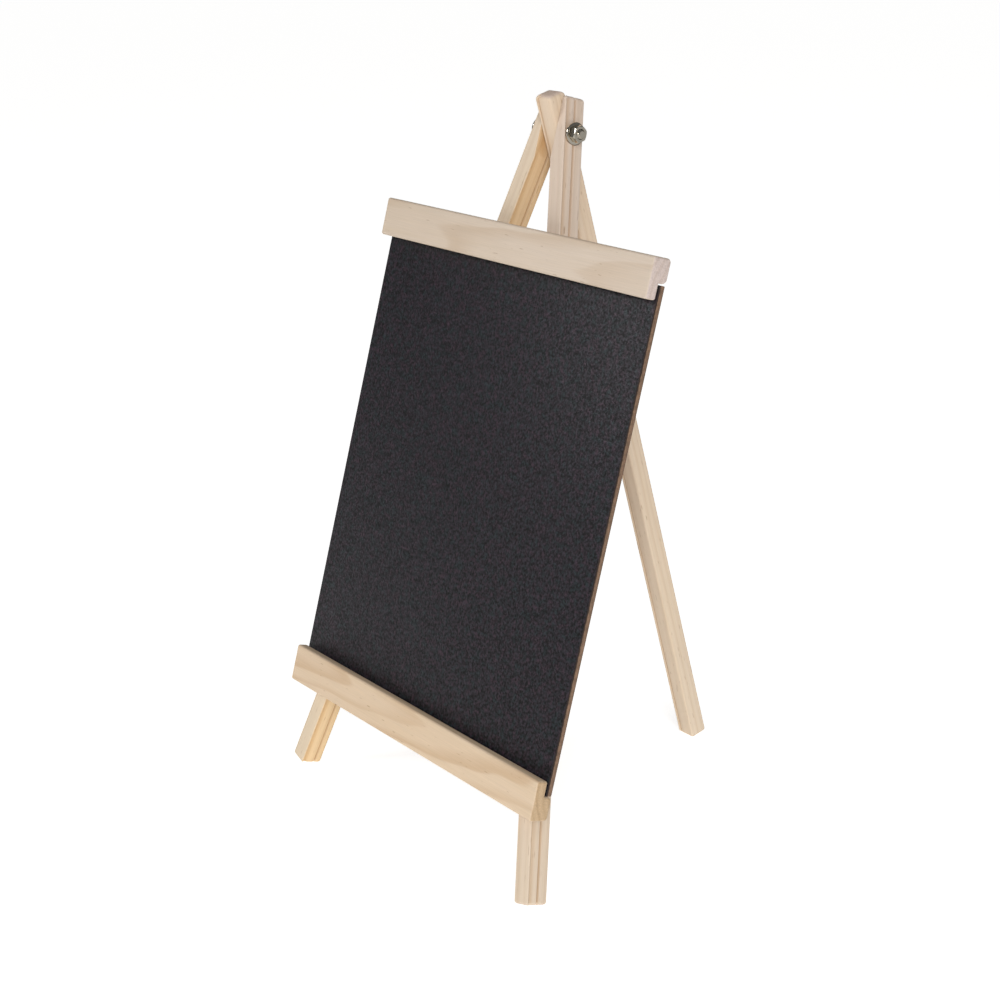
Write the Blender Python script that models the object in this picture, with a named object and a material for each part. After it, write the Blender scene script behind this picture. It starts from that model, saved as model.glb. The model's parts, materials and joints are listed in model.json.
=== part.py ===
"""Tabletop chalkboard easel: two splayed front legs, a rear prop leg, two slotted rails and a board.

Metres, +Z up. The board faces -Y, its right-hand edge is at +X, and the easel stands on Z = 0.
The front frame is built in a leaning frame of its own: x across, y towards the back (0 is the
plane of the legs' front faces) and z up the slope.
"""

from math import atan2, cos, hypot, pi, radians, sin, sqrt

import bmesh
import bpy
from mathutils import Matrix, Vector

# Front frame
FRAME_LEAN = radians(16.4)
FRAME_LENGTH = 0.344
LEG_BOTTOM_X = 0.0946
LEG_TOP_X = 0.0030
LEG_WIDTH = 0.009
LEG_DEPTH = 0.011

# Moulded stock: each wide side has a cove near the front and a V groove behind it
STOCK_CORNER = 0.0007
COVE_START = 0.0007
COVE_END = 0.0030
COVE_DEPTH = 0.00045
GROOVE_HALF = 0.0006
GROOVE_DEPTH = 0.0009
OUTER_GROOVE = 0.0057
INNER_GROOVE = 0.0074
REAR_GROOVE = 0.0020

# Rear leg: the same stock turned a quarter round
REAR_OPENING = radians(14.7)
REAR_WIDTH = LEG_DEPTH
REAR_DEPTH = LEG_WIDTH
REAR_ABOVE_PIVOT = 0.0178

# Pivot: an M4 bolt, its head on the left and its nut on the right
PIVOT_UP = 0.3292
PIVOT_BACK = LEG_DEPTH / 2
BOLT_RADIUS = 0.0020
BOLT_HOLE_RADIUS = 0.0023
BOLT_PAST_NUT = 0.0012
BOLT_CHAMFER = 0.0004
WASHER_RADIUS = 0.0050
WASHER_THICKNESS = 0.0008
WASHER_SINK = 0.0008
HEAD_RADIUS = 0.0040
HEAD_RIM = 0.0007
HEAD_HEIGHT = 0.0026
NUT_ACROSS_FLATS = 0.0070
NUT_HEIGHT = 0.0032
NUT_CHAMFER = 0.0005
NUT_TURN = radians(30)

# Rails
RAIL_LENGTH = 0.200
RAIL_HEIGHT = 0.018
RAIL_THICKNESS = 0.010
RAIL_CORNER = 0.0009
RAIL_BACK_CORNER = 0.0017
SLOT_THICKNESS = 0.0045
SLOT_DEPTH = 0.0072
LEDGE_BOTTOM = 0.0401
TOP_RAIL_BOTTOM = 0.2664

# Board
BOARD_WIDTH = 0.199
BOARD_THICKNESS = 0.0030
BOARD_SLACK = 0.0004

# Countersunk wood screws, driven from behind through the legs into the rails
SCREW_HEAD_RADIUS = 0.0027
SCREW_RIM = 0.0003
SCREW_RADIUS = 0.0014
SCREW_LENGTH = 0.0165
SCREW_POINT = 0.0030
SCREW_SINK = 0.0003

# Cross recesses in the heads
BOLT_RECESS = (0.0042, 0.0009, 0.0016)
SCREW_RECESS = (0.0030, 0.0007, 0.0014)
RECESS_TAPER = 0.5

# Gap kept between faces that touch on the real easel, and how far a cutter reaches past its cut
GAP = 0.0003
OVERCUT = 0.002

# Fineness of the round shapes
TURNED_STEPS = 32
SCREW_STEPS = 20
CORNER_STEPS = 3
COVE_STEPS = 4
REAR_COVE_STEPS = 6
DOME_STEPS = 6
SMOOTH_ANGLE = radians(35)
MERGE_DISTANCE = 0.000001
SAME_POINT = 0.00001

# Derived sizes
SPLAY = atan2(LEG_BOTTOM_X - LEG_TOP_X, FRAME_LENGTH)
LEG_LENGTH = hypot(LEG_BOTTOM_X - LEG_TOP_X, FRAME_LENGTH)
SOLID_HEIGHT = RAIL_HEIGHT - SLOT_DEPTH
TOP_SCREW_UP = TOP_RAIL_BOTTOM + SLOT_DEPTH + SOLID_HEIGHT / 2
LEDGE_SCREW_UP = LEDGE_BOTTOM + SOLID_HEIGHT / 2
TAPER_FACE = REAR_WIDTH / 2 + GAP


def clear_scene():
    for old in list(bpy.data.objects):
        bpy.data.objects.remove(old, do_unlink=True)


def principled(name, color, roughness, metallic=0.0):
    material = bpy.data.materials.new(name)
    material.use_nodes = True
    shader = material.node_tree.nodes["Principled BSDF"]
    shader.inputs["Base Color"].default_value = (*color, 1.0)
    shader.inputs["Roughness"].default_value = roughness
    shader.inputs["Metallic"].default_value = metallic
    return material


def make_empty(name, parent=None, location=(0, 0, 0), tilt=0.0):
    empty = bpy.data.objects.new(name, None)
    bpy.context.scene.collection.objects.link(empty)
    empty.parent = parent
    empty.location = location
    empty.rotation_euler = (tilt, 0, 0)
    return empty


def make_object(name, builder, material, parent):
    """Link a new object whose mesh comes from a bmesh, normals outwards."""
    mesh = bpy.data.meshes.new(name)
    bmesh.ops.recalc_face_normals(builder, faces=builder.faces)
    builder.to_mesh(mesh)
    builder.free()
    made = bpy.data.objects.new(name, mesh)
    bpy.context.scene.collection.objects.link(made)
    made.parent = parent
    if material:
        mesh.materials.append(material)
    return made


def as_cutter(cutter):
    cutter.hide_render = True
    cutter.display_type = "WIRE"
    return cutter


def cut(target, cutter, operation="DIFFERENCE"):
    boolean = target.modifiers.new("cut_" + cutter.name, "BOOLEAN")
    boolean.operation = operation
    boolean.solver = "EXACT"
    boolean.object = cutter


def shade_round(made):
    made.data.shade_smooth()
    made.data.set_sharp_from_angle(angle=SMOOTH_ANGLE)


def arc(centre, radius, start, end, steps):
    """Points on an arc, ends included."""
    points = []
    for step in range(steps + 1):
        angle = start + (end - start) * step / steps
        points.append((centre[0] + radius * cos(angle), centre[1] + radius * sin(angle)))
    return points


def rounded_corner(corner, turn, radius):
    """Arc round one corner of an outline that is walked anticlockwise; turn counts quarter turns."""
    outwards = turn * pi / 2 + pi / 4
    reach = radius * sqrt(2)
    centre = (corner[0] - reach * cos(outwards), corner[1] - reach * sin(outwards))
    return arc(centre, radius, turn * pi / 2, (turn + 1) * pi / 2, CORNER_STEPS)


def hollow(start, end, depth, steps):
    """A shallow round hollow between two points, sunk to the left of the walk."""
    start = Vector(start)
    along = Vector(end) - start
    left = Vector((-along.y, along.x)).normalized()
    points = []
    for step in range(steps + 1):
        part = step / steps
        points.append(tuple(start + along * part + left * depth * sin(pi * part)))
    return points


def without_repeats(points):
    kept = []
    for point in points:
        if not kept or hypot(point[0] - kept[-1][0], point[1] - kept[-1][1]) > SAME_POINT:
            kept.append(point)
    return kept


def extrude_outline(points, length, axis):
    """A closed bar: the outline lies across the axis and the bar runs along it from 0 to length."""
    bar = bmesh.new()
    verts = []
    for first, second in points:
        place = (0, first, second) if axis == "x" else (first, second, 0)
        verts.append(bar.verts.new(place))
    extruded = bmesh.ops.extrude_face_region(bar, geom=[bar.faces.new(verts)])
    moved = [item for item in extruded["geom"] if isinstance(item, bmesh.types.BMVert)]
    step = (length, 0, 0) if axis == "x" else (0, 0, length)
    bmesh.ops.translate(bar, verts=moved, vec=step)
    return bar


def turned(profile, steps=TURNED_STEPS, ring=False):
    """A turned solid about X from (x, radius) points: from axis to axis, or a ring's closed outline."""
    lathe = bmesh.new()
    verts = [lathe.verts.new((x, radius, 0)) for x, radius in profile]
    ends = verts[1:] + verts[:1] if ring else verts[1:]
    edges = [lathe.edges.new(pair) for pair in zip(verts, ends)]
    bmesh.ops.spin(
        lathe, geom=verts + edges, axis=(1, 0, 0), cent=(0, 0, 0), angle=2 * pi, steps=steps, use_merge=True
    )
    bmesh.ops.remove_doubles(lathe, verts=lathe.verts, dist=MERGE_DISTANCE)
    return lathe


def box(low, high):
    block = bmesh.new()
    size = Vector(high) - Vector(low)
    centre = (Vector(high) + Vector(low)) / 2
    bmesh.ops.create_cube(block, size=1.0, matrix=Matrix.Translation(centre) @ Matrix.Diagonal((*size, 1)))
    return block


def v_groove(edge, centre, inwards):
    """Three points of a V groove in the side at x = edge, walked towards +y; inwards is its sunk x."""
    return [(edge, centre - GROOVE_HALF), (inwards, centre), (edge, centre + GROOVE_HALF)]


def front_leg_outline(side):
    """Cross-section of a front leg; side is +1 when its outer side is at +x, -1 when at -x."""
    half = LEG_WIDTH / 2
    right_groove = OUTER_GROOVE if side > 0 else INNER_GROOVE
    left_groove = INNER_GROOVE if side > 0 else OUTER_GROOVE
    outline = rounded_corner((half, 0), 3, STOCK_CORNER)
    outline += hollow((half, COVE_START), (half, COVE_END), COVE_DEPTH, COVE_STEPS)
    outline += v_groove(half, right_groove, half - GROOVE_DEPTH)
    outline += rounded_corner((half, LEG_DEPTH), 0, STOCK_CORNER)
    outline += rounded_corner((-half, LEG_DEPTH), 1, STOCK_CORNER)
    outline += reversed(v_groove(-half, left_groove, GROOVE_DEPTH - half))
    outline += hollow((-half, COVE_END), (-half, COVE_START), COVE_DEPTH, COVE_STEPS)
    outline += rounded_corner((-half, 0), 2, STOCK_CORNER)
    return without_repeats(outline)


def rear_leg_outline():
    """Cross-section of the rear leg, its grooved side to the front."""
    half = REAR_WIDTH / 2
    front = -REAR_DEPTH / 2
    back = REAR_DEPTH / 2
    groove = REAR_GROOVE - half
    outline = rounded_corner((-half, front), 2, STOCK_CORNER)
    outline += [(groove - GROOVE_HALF, front), (groove, front + GROOVE_DEPTH)]
    cove_end = (half - COVE_START, front)
    outline += hollow((groove + GROOVE_HALF, front), cove_end, COVE_DEPTH, REAR_COVE_STEPS)
    outline += rounded_corner((half, front), 3, STOCK_CORNER)
    outline += rounded_corner((half, back), 0, STOCK_CORNER)
    outline += rounded_corner((-half, back), 1, STOCK_CORNER)
    return without_repeats(outline)


def rail_outline(slot_at_top):
    """Cross-section of a rail, (y, z) points: its front at -y, and a slot for the board at its back."""
    front = -RAIL_THICKNESS
    slot = -SLOT_THICKNESS
    back = -GAP
    high = RAIL_HEIGHT
    outline = rounded_corner((front, 0), 2, RAIL_CORNER)
    if slot_at_top:
        shoulder = high - SLOT_DEPTH
        outline += rounded_corner((back, 0), 3, RAIL_BACK_CORNER)
        outline += [(back, shoulder), (slot, shoulder)]
        outline += rounded_corner((slot, high), 0, RAIL_CORNER)
    else:
        outline += rounded_corner((slot, 0), 3, RAIL_CORNER)
        outline += [(slot, SLOT_DEPTH), (back, SLOT_DEPTH)]
        outline += rounded_corner((back, high), 0, RAIL_BACK_CORNER)
    outline += rounded_corner((front, high), 1, RAIL_CORNER)
    return without_repeats(outline)


def leg_centre_x(up):
    return LEG_BOTTOM_X - (LEG_BOTTOM_X - LEG_TOP_X) * up / FRAME_LENGTH


def leg_outer_x(up):
    """Outer face of a front leg at a height up the slope."""
    return leg_centre_x(up) + LEG_WIDTH / 2 / cos(SPLAY)


def seat_x():
    """Washer's seat: square to the bolt and sunk a little where its lower edge meets the sloping leg."""
    return leg_outer_x(PIVOT_UP - WASHER_RADIUS) - WASHER_SINK


def front_leg(name, side, material, frame, cutters):
    leg = make_object(name, extrude_outline(front_leg_outline(side), LEG_LENGTH, "z"), material, frame)
    leg.location = (side * LEG_BOTTOM_X, 0, 0)
    leg.rotation_euler = (0, -side * SPLAY, 0)
    for cutter in cutters:
        cut(leg, cutter)
    return leg


def taper_cutter(name, side, frame):
    """Everything on a front leg that would reach past the rear leg's side, above the crossing."""
    low = (-LEG_BOTTOM_X / 2, -OVERCUT, PIVOT_UP - LEG_BOTTOM_X / 2)
    high = (TAPER_FACE, LEG_DEPTH + OVERCUT, LEG_LENGTH + OVERCUT)
    cutter = as_cutter(make_object(name, box(low, high), None, frame))
    if side < 0:
        cutter.rotation_euler = (0, 0, pi)
        cutter.location = (0, LEG_DEPTH, 0)
    return cutter


def pivot_hole_cutter(frame):
    reach = seat_x() + WASHER_RADIUS
    rod = turned([(-reach, 0), (-reach, BOLT_HOLE_RADIUS), (reach, BOLT_HOLE_RADIUS), (reach, 0)])
    cutter = as_cutter(make_object("pivot_hole_cutter", rod, None, frame))
    cutter.location = (0, PIVOT_BACK, PIVOT_UP)
    return cutter


def washer_seat_cutter(name, side, frame):
    """The shallow flat that the washer presses into a leg's outer face."""
    radius = WASHER_RADIUS + GAP
    start = seat_x() - GAP
    reach = start + LEG_WIDTH
    disc = turned([(start, 0), (start, radius), (reach, radius), (reach, 0)])
    cutter = as_cutter(make_object(name, disc, None, frame))
    cutter.location = (0, PIVOT_BACK, PIVOT_UP)
    if side < 0:
        cutter.rotation_euler = (0, 0, pi)
    return cutter


def rear_leg(material, pivot, reach, cutter):
    bar = extrude_outline(rear_leg_outline(), reach + REAR_ABOVE_PIVOT, "z")
    bmesh.ops.translate(bar, verts=bar.verts, vec=(0, 0, -reach))
    leg = make_object("rear_leg", bar, material, pivot)
    cut(leg, cutter)
    return leg


def rail(name, bottom, slot_at_top, material, frame, cutters):
    bar = extrude_outline(rail_outline(slot_at_top), RAIL_LENGTH, "x")
    bmesh.ops.translate(bar, verts=bar.verts, vec=(-RAIL_LENGTH / 2, 0, 0))
    made = make_object(name, bar, material, frame)
    made.location = (0, 0, bottom)
    for cutter in cutters:
        cut(made, cutter)
    return made


def chalkboard_panel(material, frame):
    half = BOARD_WIDTH / 2
    back = -2 * GAP
    front = back - BOARD_THICKNESS
    low = LEDGE_BOTTOM + SOLID_HEIGHT + GAP
    high = TOP_RAIL_BOTTOM + SLOT_DEPTH - GAP - BOARD_SLACK
    return make_object("chalkboard_panel", box((-half, front, low), (half, back, high)), material, frame)


def cross_recess(target, top, recess):
    """Cut a tapered cross into a head whose top faces -x at x = top."""
    span, width, depth = recess
    for name, turn in (("upright", 0), ("level", pi / 2)):
        blade = box((top - OVERCUT, -span / 2, -width / 2), (top + depth, span / 2, width / 2))
        for vert in blade.verts:
            if vert.co.x > top:
                vert.co.y *= RECESS_TAPER
                vert.co.z *= RECESS_TAPER
        bmesh.ops.rotate(blade, verts=blade.verts, cent=(0, 0, 0), matrix=Matrix.Rotation(turn, 3, "X"))
        cutter = as_cutter(make_object(f"{target.name}_recess_{name}", blade, None, target.parent))
        cutter.location = target.location
        cutter.rotation_euler = target.rotation_euler
        cut(target, cutter)


def screw_profile(grow):
    """Countersunk wood screw: its flat head at x = 0 and its point at +x; grow widens it into its hole."""
    cone = SCREW_HEAD_RADIUS - SCREW_RADIUS
    head = -OVERCUT if grow else 0.0
    return [
        (head, 0),
        (head, SCREW_HEAD_RADIUS + grow),
        (SCREW_RIM, SCREW_HEAD_RADIUS + grow),
        (SCREW_RIM + cone, SCREW_RADIUS + grow),
        (SCREW_LENGTH - SCREW_POINT, SCREW_RADIUS + grow),
        (SCREW_LENGTH + grow, 0),
    ]


def placed_screw(name, x, up, material, frame, grow):
    made = make_object(name, turned(screw_profile(grow), SCREW_STEPS), material, frame)
    made.location = (x, LEG_DEPTH - SCREW_SINK, up)
    made.rotation_euler = (0, 0, -pi / 2)
    return made


def screw(name, x, up, material, frame):
    made = placed_screw(name, x, up, material, frame, 0.0)
    shade_round(made)
    cross_recess(made, 0.0, SCREW_RECESS)
    return made


def screw_hole(name, x, up, frame):
    return as_cutter(placed_screw(name, x, up, None, frame, GAP))


def washer(name, side, material, pivot_frame):
    inner = seat_x()
    outer = inner + WASHER_THICKNESS
    outline = [(inner, BOLT_HOLE_RADIUS), (inner, WASHER_RADIUS)]
    outline += [(outer, WASHER_RADIUS), (outer, BOLT_HOLE_RADIUS)]
    made = make_object(name, turned(outline, ring=True), material, pivot_frame)
    if side < 0:
        made.rotation_euler = (0, 0, pi)
    shade_round(made)
    return made


def pivot_bolt(material, pivot_frame):
    """Domed head at -x, shank through the legs, and its end just past the nut at +x."""
    seat = seat_x() + WASHER_THICKNESS + GAP
    rise = HEAD_HEIGHT - HEAD_RIM
    sphere = (HEAD_RADIUS**2 + rise**2) / (2 * rise)
    edge_angle = atan2(HEAD_RADIUS, sphere - rise)
    dome_centre = (-seat - HEAD_RIM - rise + sphere, 0)
    dome = arc(dome_centre, sphere, pi, pi - edge_angle, DOME_STEPS)
    end = seat + NUT_HEIGHT + BOLT_PAST_NUT
    profile = dome + [(-seat, HEAD_RADIUS), (-seat, BOLT_RADIUS)]
    profile += [(end - BOLT_CHAMFER, BOLT_RADIUS), (end, BOLT_RADIUS - BOLT_CHAMFER), (end, 0)]
    made = make_object("pivot_bolt", turned(profile), material, pivot_frame)
    shade_round(made)
    cross_recess(made, -seat - HEAD_HEIGHT, BOLT_RECESS)
    return made


def pivot_nut(material, pivot_frame):
    """Hexagon nut on the bolt's right-hand end: a prism, its corners turned off, bored through."""
    seat = seat_x() + WASHER_THICKNESS + GAP
    half_flat = NUT_ACROSS_FLATS / 2
    corner = half_flat / cos(pi / 6)
    prism = bmesh.new()
    axis_turn = Matrix.Rotation(NUT_TURN, 4, "X") @ Matrix.Rotation(pi / 2, 4, "Y")
    bmesh.ops.create_cone(
        prism, cap_ends=True, segments=6, radius1=corner, radius2=corner, depth=NUT_HEIGHT, matrix=axis_turn
    )
    nut = make_object("pivot_nut", prism, material, pivot_frame)
    nut.location = (seat + NUT_HEIGHT / 2, 0, 0)
    half = NUT_HEIGHT / 2
    wide = corner + NUT_CHAMFER
    barrel = [(-half, 0), (-half, half_flat), (NUT_CHAMFER - half, wide)]
    barrel += [(half - NUT_CHAMFER, wide), (half, half_flat), (half, 0)]
    turned_corners = as_cutter(make_object("nut_corner_barrel", turned(barrel), None, pivot_frame))
    turned_corners.location = nut.location
    cut(nut, turned_corners, "INTERSECT")
    reach = half + OVERCUT
    rod = [(-reach, 0), (-reach, BOLT_HOLE_RADIUS), (reach, BOLT_HOLE_RADIUS), (reach, 0)]
    bore = as_cutter(make_object("nut_bore_cutter", turned(rod), None, pivot_frame))
    bore.location = nut.location
    cut(nut, bore)
    return nut


def lowest_foot_up():
    """Height of a front foot's lowest corner above the leaning frame's origin, corner rounding left out."""
    across = -LEG_WIDTH / 2 * sin(SPLAY)
    return across * cos(FRAME_LEAN) - LEG_DEPTH * sin(FRAME_LEAN)


def pivot_height():
    """Height of the bolt above the leaning frame's origin."""
    return PIVOT_UP * cos(FRAME_LEAN) - PIVOT_BACK * sin(FRAME_LEAN)


def rear_reach():
    """Length of the rear leg below the bolt that brings its foot down to the front feet's level."""
    drop = pivot_height() - lowest_foot_up()
    return (drop - REAR_DEPTH / 2 * sin(REAR_OPENING)) / cos(REAR_OPENING)


def centre_on_origin(root):
    """Move the root so that the bottom centre of everything that shows is at the origin."""
    bpy.context.view_layer.update()
    depsgraph = bpy.context.evaluated_depsgraph_get()
    corners = []
    for made in bpy.data.objects:
        if made.type != "MESH" or made.hide_render:
            continue
        shown = made.evaluated_get(depsgraph)
        corners += [shown.matrix_world @ vert.co for vert in shown.data.vertices]
    low = Vector([min(corner[axis] for corner in corners) for axis in range(3)])
    high = Vector([max(corner[axis] for corner in corners) for axis in range(3)])
    middle = (low + high) / 2
    root.location -= Vector((middle.x, middle.y, low.z))


def build():
    clear_scene()
    pine = principled("pine", (0.79, 0.63, 0.45), 0.62)
    board_black = principled("chalkboard_black", (0.030, 0.027, 0.034), 0.75)
    nickel = principled("nickel_plate", (0.80, 0.79, 0.76), 0.18, 1.0)
    zinc = principled("zinc_plate", (0.66, 0.66, 0.64), 0.35, 1.0)

    root = make_empty("easel")
    frame = make_empty("front_frame", root, tilt=-FRAME_LEAN)
    pivot_frame = make_empty("pivot_frame", frame, (0, PIVOT_BACK, PIVOT_UP))
    rear_pivot = make_empty("rear_leg_pivot", pivot_frame, tilt=FRAME_LEAN + REAR_OPENING)

    pivot_hole = pivot_hole_cutter(frame)
    top_holes = []
    ledge_holes = []
    for side_name, side in (("left", -1), ("right", 1)):
        top_x = side * leg_centre_x(TOP_SCREW_UP)
        ledge_x = side * leg_centre_x(LEDGE_SCREW_UP)
        top_holes.append(screw_hole(f"top_rail_hole_{side_name}", top_x, TOP_SCREW_UP, frame))
        ledge_holes.append(screw_hole(f"ledge_hole_{side_name}", ledge_x, LEDGE_SCREW_UP, frame))
        screw(f"top_rail_screw_{side_name}", top_x, TOP_SCREW_UP, zinc, frame)
        screw(f"ledge_screw_{side_name}", ledge_x, LEDGE_SCREW_UP, zinc, frame)
        taper = taper_cutter(f"taper_cutter_{side_name}", side, frame)
        seat = washer_seat_cutter(f"washer_seat_cutter_{side_name}", side, frame)
        cutters = [taper, seat, pivot_hole, top_holes[-1], ledge_holes[-1]]
        front_leg(f"{side_name}_front_leg", side, pine, frame, cutters)
        washer(f"{side_name}_washer", side, nickel, pivot_frame)

    rail("top_rail", TOP_RAIL_BOTTOM, False, pine, frame, top_holes)
    rail("bottom_ledge", LEDGE_BOTTOM, True, pine, frame, ledge_holes)
    chalkboard_panel(board_black, frame)
    rear_leg(pine, rear_pivot, rear_reach(), pivot_hole)
    pivot_bolt(nickel, pivot_frame)
    pivot_nut(nickel, pivot_frame)
    centre_on_origin(root)


build()
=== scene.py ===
import json
from math import asin, atan2, cos, hypot, pi, radians, sin
import bmesh
import bpy
from mathutils import Matrix, Vector


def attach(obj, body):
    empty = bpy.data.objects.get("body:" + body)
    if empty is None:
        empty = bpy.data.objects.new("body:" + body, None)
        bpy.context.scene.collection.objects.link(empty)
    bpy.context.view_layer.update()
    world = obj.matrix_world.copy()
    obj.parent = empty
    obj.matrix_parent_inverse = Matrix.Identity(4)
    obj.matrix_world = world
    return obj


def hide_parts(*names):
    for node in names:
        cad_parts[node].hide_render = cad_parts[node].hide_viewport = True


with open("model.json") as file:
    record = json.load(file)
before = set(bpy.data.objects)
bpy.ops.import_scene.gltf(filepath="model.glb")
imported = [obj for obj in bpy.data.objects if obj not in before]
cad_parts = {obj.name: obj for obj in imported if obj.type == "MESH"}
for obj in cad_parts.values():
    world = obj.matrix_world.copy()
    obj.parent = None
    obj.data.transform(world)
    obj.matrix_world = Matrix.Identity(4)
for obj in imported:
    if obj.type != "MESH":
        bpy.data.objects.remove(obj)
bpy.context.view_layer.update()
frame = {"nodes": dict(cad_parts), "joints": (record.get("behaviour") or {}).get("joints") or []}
mm = 0.001
print("frame loaded:", len(frame["nodes"]), "CAD nodes")

# how the easel stands: sizes in mm, angles in degrees
easel = {
    "lean": 16.4,          # front frame, back from upright
    "rearOpening": 14.7,   # rear leg, back from upright
    "frameLength": 344.0,  # front legs, measured up the slope
    "footX": 94.6,         # middle of a front leg at its foot
    "topX": 3.0,           # and at its top
    "pivotUp": 329.2,      # bolt, up the slope
    "pivotBack": 5.5,      # bolt, behind the legs' front faces
}

# the bolt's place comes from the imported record, and everything else hangs from it
foldJoint = [j for j in frame["joints"] if j["name"] == "rear_leg_fold"][0]
pivot = Vector(foldJoint["pos_m"])
leanTurn = Matrix.Rotation(-radians(easel["lean"]), 4, "X")
pivotPlace = Matrix.Translation(pivot) @ leanTurn
frontPlace = pivotPlace @ Matrix.Translation((0, -easel["pivotBack"] * mm, -easel["pivotUp"] * mm))
rearPlace = Matrix.Translation(pivot) @ Matrix.Rotation(radians(easel["rearOpening"]), 4, "X")
splay = atan2(easel["footX"] - easel["topX"], easel["frameLength"])
alongX = Matrix(((0, 0, 1, 0), (1, 0, 0, 0), (0, 1, 0, 0), (0, 0, 0, 1)))  # a stick's z laid along x


def srgb(code):
    channels = [int(code[i:i + 2], 16) / 255 for i in (0, 2, 4)]
    linear = [c / 12.92 if c <= 0.04045 else ((c + 0.055) / 1.055) ** 2.4 for c in channels]
    return (*linear, 1.0)


# adds one node: inputs hold values or the sockets that feed it, stops are a ramp's places and colours
def addNode(tree, kind, inputs=None, stops=None, **settings):
    node = tree.nodes.new("ShaderNode" + kind)
    for key, value in settings.items():
        setattr(node, key, value)
    for key, value in (inputs or {}).items():
        if isinstance(value, bpy.types.NodeSocket):
            tree.links.new(value, node.inputs[key])
        else:
            node.inputs[key].default_value = value
    if stops:
        ramp = node.color_ramp.elements
        while len(ramp) < len(stops):
            ramp.new(1.0)
        for element, (place, shade) in zip(ramp, stops):
            element.position = place
            element.color = shade if isinstance(shade, tuple) else (shade, shade, shade, 1.0)
    return node


def newMaterial(name):
    material = bpy.data.materials.new(name)
    material.use_nodes = True
    tree = material.node_tree
    shader = tree.nodes["Principled BSDF"]
    return material, tree, shader


# sanded pine, planed along the grain and left bare: pale earlywood with soft tan growth lines, fine
# fibres, a few resin flecks, and a greyer, speckled end grain. The rings are cylinders about a pith
# that lies outside the stick, so that faces, edges and ends show the cuts that a saw gives.
pine = {
    "early": "DCCBB8",
    "earlyWarm": "D6C2A8",
    "late": "C0A382",
    "fleck": "93704C",
    "ends": ("DAC7BA", "BFA691"),
    "cutter": "E0CDB2",     # painted shade at the bottom of a moulding's cuts, where the grooves lie in shadow
    "ringMm": 3.0,
    "wanderMm": 3.0,        # how far the rings stray from true circles
    "roughness": 0.58,
    "ior": 1.5,
}
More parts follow.
